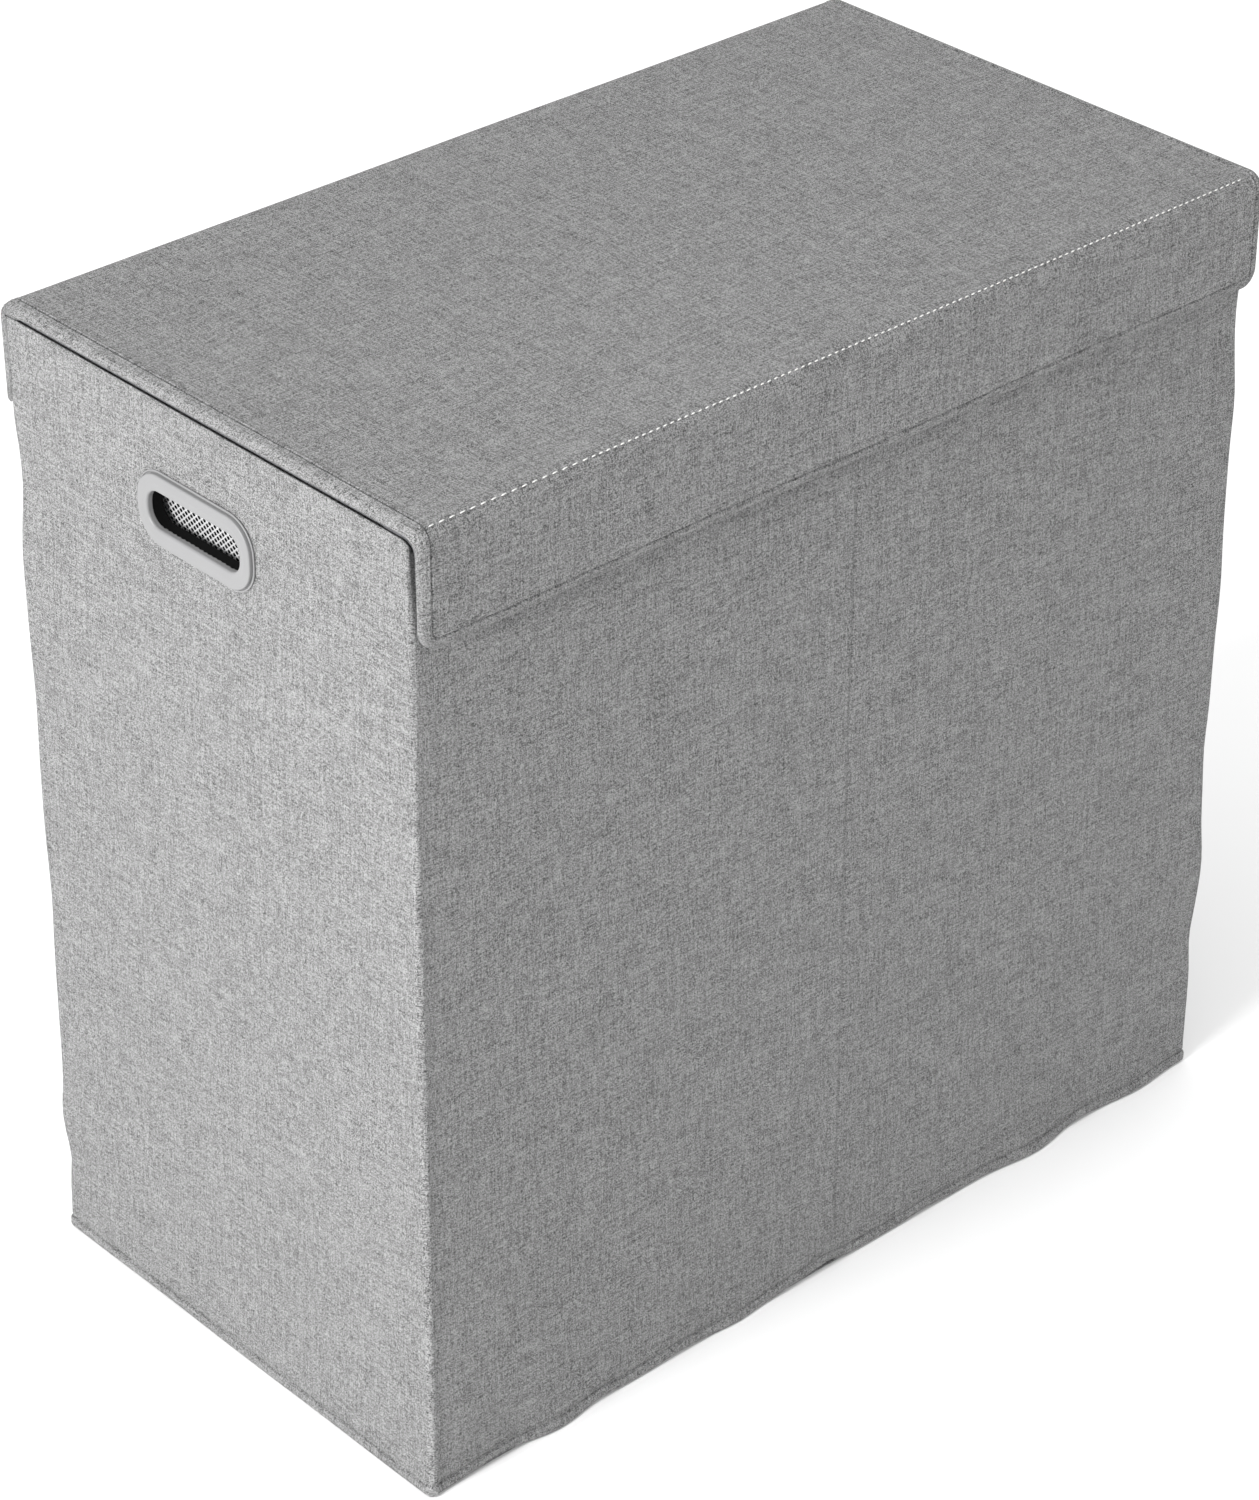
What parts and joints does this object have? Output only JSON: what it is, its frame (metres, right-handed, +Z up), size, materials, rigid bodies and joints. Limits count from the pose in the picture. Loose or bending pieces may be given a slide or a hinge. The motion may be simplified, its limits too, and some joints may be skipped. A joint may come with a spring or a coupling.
{
  "type": "laundry hamper",
  "caption": "Rectangular fabric-covered laundry hamper with a hinged lid and front flap, moulded side grips and removable mesh bins inside.",
  "frame": {"origin": "on the floor under the middle of the hamper's body", "axes": "+X along the width, to the right as seen from the front; +Y from the front to the back; +Z up"},
  "size_m": [0.6162, 0.3446, 0.607],
  "materials": {
    "heather_cloth": "heather grey linen-look woven cloth, matt",
    "board": "compressed fibre board, matt",
    "lining_cloth": "dark grey non-woven lining, matt",
    "grip_plastic": "moulded light grey plastic, satin",
    "bin_mesh": "white knitted diamond netting",
    "webbing": "grey woven webbing",
    "hook_and_loop": "dark hook-and-loop tape"
  },
  "bodies": {
    "root": {"cover_front": "heather_cloth", "cover_back": "heather_cloth", "cover_left": "heather_cloth", "cover_right": "heather_cloth", "cover_bottom": "heather_cloth", "rim_binding": "heather_cloth", "back_flap_cover": "heather_cloth", "front_left_board": "board", "front_right_board": "board", "back_left_board": "board", "back_right_board": "board", "left_side_board": "board", "right_side_board": "board", "back_flap_board": "board", "lining_front": "lining_cloth", "lining_back": "lining_cloth", "lining_left": "lining_cloth", "lining_right": "lining_cloth", "left_grip_bezel": "grip_plastic", "left_grip_collar": "grip_plastic", "right_grip_bezel": "grip_plastic", "right_grip_collar": "grip_plastic", "centre_strap": "webbing", "back_flap_fastener": "hook_and_loop", "left_wall_loop_pad": "hook_and_loop", "right_wall_loop_pad": "hook_and_loop", "left_front_loop_pad": "hook_and_loop", "left_back_loop_pad": "hook_and_loop", "right_front_loop_pad": "hook_and_loop", "right_back_loop_pad": "hook_and_loop"},
    "base": {"base_cover": "lining_cloth", "base_board": "board"},
    "lid": {"lid_cover": "heather_cloth", "lid_board": "board", "lid_lining": "lining_cloth"},
    "flap": {"flap_cover": "heather_cloth", "flap_board": "board", "flap_lining": "lining_cloth"},
    "left_bin": {"left_bin_mesh": "bin_mesh", "left_bin_binding": "webbing", "left_bin_hook_pad": "hook_and_loop", "left_front_hook_pad": "hook_and_loop", "left_back_hook_pad": "hook_and_loop"},
    "left_front_handle": {"left_front_handle": "webbing"},
    "left_back_handle": {"left_back_handle": "webbing"},
    "right_bin": {"right_bin_mesh": "bin_mesh", "right_bin_binding": "webbing", "right_bin_hook_pad": "hook_and_loop", "right_front_hook_pad": "hook_and_loop", "right_back_hook_pad": "hook_and_loop"},
    "right_front_handle": {"right_front_handle": "webbing"},
    "right_back_handle": {"right_back_handle": "webbing"}
  },
  "joints": [
    {"name": "lid_hinge", "type": "hinge", "parent": "root", "child": "lid", "pos_m": [0, 0.1709, 0.607], "axis": [-1, 0, 0], "range_deg": [0, 265]},
    {"name": "flap_hinge", "type": "hinge", "parent": "lid", "child": "flap", "pos_m": [0, -0.1707, 0.607], "axis": [-1, 0, 0], "range_deg": [0, 110]},
    {"name": "base_lift", "type": "slide", "parent": "root", "child": "base", "axis": [0, 0, 1], "range_m": [0, 0.01]},
    {"name": "left_bin_lift", "type": "slide", "parent": "root", "child": "left_bin", "axis": [0, 0, 1], "range_m": [0, 0.018]},
    {"name": "left_front_handle_fold", "type": "hinge", "parent": "left_bin", "child": "left_front_handle", "pos_m": [-0.14858, -0.15203, 0.5659], "axis": [1, 0, 0], "range_deg": [0, 90]},
    {"name": "left_back_handle_fold", "type": "hinge", "parent": "left_bin", "child": "left_back_handle", "pos_m": [-0.14858, 0.15203, 0.5659], "axis": [-1, 0, 0], "range_deg": [0, 90]},
    {"name": "right_bin_lift", "type": "slide", "parent": "root", "child": "right_bin", "axis": [0, 0, 1], "range_m": [0, 0.018]},
    {"name": "right_front_handle_fold", "type": "hinge", "parent": "right_bin", "child": "right_front_handle", "pos_m": [0.14858, -0.15203, 0.5659], "axis": [1, 0, 0], "range_deg": [0, 90]},
    {"name": "right_back_handle_fold", "type": "hinge", "parent": "right_bin", "child": "right_back_handle", "pos_m": [0.14858, 0.15203, 0.5659], "axis": [-1, 0, 0], "range_deg": [0, 90]}
  ]
}
